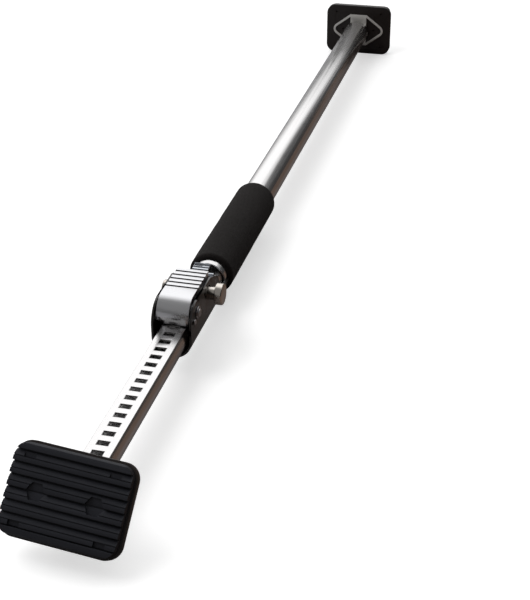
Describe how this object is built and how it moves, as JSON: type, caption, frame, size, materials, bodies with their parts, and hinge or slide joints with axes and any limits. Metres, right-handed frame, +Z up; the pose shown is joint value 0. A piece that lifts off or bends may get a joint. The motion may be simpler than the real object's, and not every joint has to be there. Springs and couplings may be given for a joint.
{
  "type": "ratcheting telescopic load bar",
  "caption": "Telescopic load bar that jams between two walls: a ratchet lever drives a slotted inner tube out of a main tube, with a foam grip and tilting rubber feet.",
  "frame": {"origin": "middle of the underside of the bounding box, on the bar's centre plane", "axes": "+X along the bar towards the far foot on the main tube, +Z up with the inner tube's flat and the lever on top, Y across"},
  "size_m": [1.266, 0.104, 0.0825],
  "materials": {
    "zinc_tube": "zinc plated, satin",
    "foam": "closed-cell foam, matt",
    "black_plastic": "moulded plastic, fine grain",
    "rubber": "moulded rubber, matt",
    "black_steel": "black coated steel, semi-gloss",
    "zinc_plate": "bright zinc plate with a blue tint",
    "chrome": "bright chrome plate",
    "nickel": "bright nickel plate",
    "dark_steel": "hardened steel, oiled",
    "rivet_steel": "plain zinc plated steel",
    "spring_steel": "spring wire and sheet, bright"
  },
  "bodies": {
    "barrel": {"main_tube": "zinc_tube", "foam_grip": "foam", "mouth_bush": "black_plastic", "ratchet_frame": "black_steel", "frame_rivets": "rivet_steel", "pinion_cover": "chrome", "cover_studs": "rivet_steel", "spring_plate": "zinc_plate", "release_springs": "spring_steel", "far_pin": "rivet_steel"},
    "inner_bar": {"inner_tube": "zinc_tube", "guide_plug": "black_plastic", "near_pin": "rivet_steel"},
    "near_foot": {"near_bracket": "zinc_plate", "near_pad_base": "black_plastic", "near_tread": "rubber", "near_pad_screws": "rivet_steel"},
    "far_foot": {"far_bracket": "zinc_plate", "far_pad_base": "black_plastic", "far_tread": "rubber", "far_pad_screws": "rivet_steel"},
    "pinion": {"drive_pinion": "dark_steel", "ratchet_wheels": "dark_steel", "pinion_shaft": "rivet_steel", "spacer_sleeves": "rivet_steel", "shaft_clips": "spring_steel", "thrust_washers": "rivet_steel"},
    "hand_lever": {"lever": "chrome", "pawl_stop_pin": "rivet_steel", "drive_spring": "spring_steel"},
    "pawl": {"drive_pawl": "dark_steel"},
    "release": {"holding_pawl": "zinc_plate", "release_shaft": "nickel", "release_knob_left": "nickel", "release_knob_right": "nickel"}
  },
  "joints": [
    {"name": "tube_slide", "type": "slide", "parent": "barrel", "child": "inner_bar", "axis": [-1, 0, 0], "range_m": [-0.2, 0.51]},
    {"name": "pinion_spin", "type": "hinge", "parent": "barrel", "child": "pinion", "pos_m": [-0.32453, 0, 0.05724], "axis": [0, 1, 0], "continuous": true},
    {"name": "lever_swing", "type": "hinge", "parent": "barrel", "child": "hand_lever", "pos_m": [-0.32453, 0, 0.05724], "axis": [0, -1, 0], "range_deg": [0, 28]},
    {"name": "drive_pawl_slide", "type": "slide", "parent": "hand_lever", "child": "pawl", "axis": [0.8988, 0, 0.4384], "range_m": [0, 0.003], "stiffness_N_per_m": 300, "springref_m": -0.003},
    {"name": "release_slide", "type": "slide", "parent": "barrel", "child": "release", "axis": [1, 0, 0], "range_m": [0, 0.005], "stiffness_N_per_m": 600, "springref_m": -0.006},
    {"name": "near_foot_tilt", "type": "hinge", "parent": "inner_bar", "child": "near_foot", "pos_m": [-0.58253, 0, 0.0315], "axis": [0, 1, 0], "range_deg": [-83, 27]},
    {"name": "far_foot_tilt", "type": "hinge", "parent": "barrel", "child": "far_foot", "pos_m": [0.59847, 0, 0.0375], "axis": [0, -1, 0], "range_deg": [-42, 42]}
  ],
  "couplings": [
    {"joint": "pinion_spin", "follows": "tube_slide", "rad_per_m": 93.084}
  ]
}
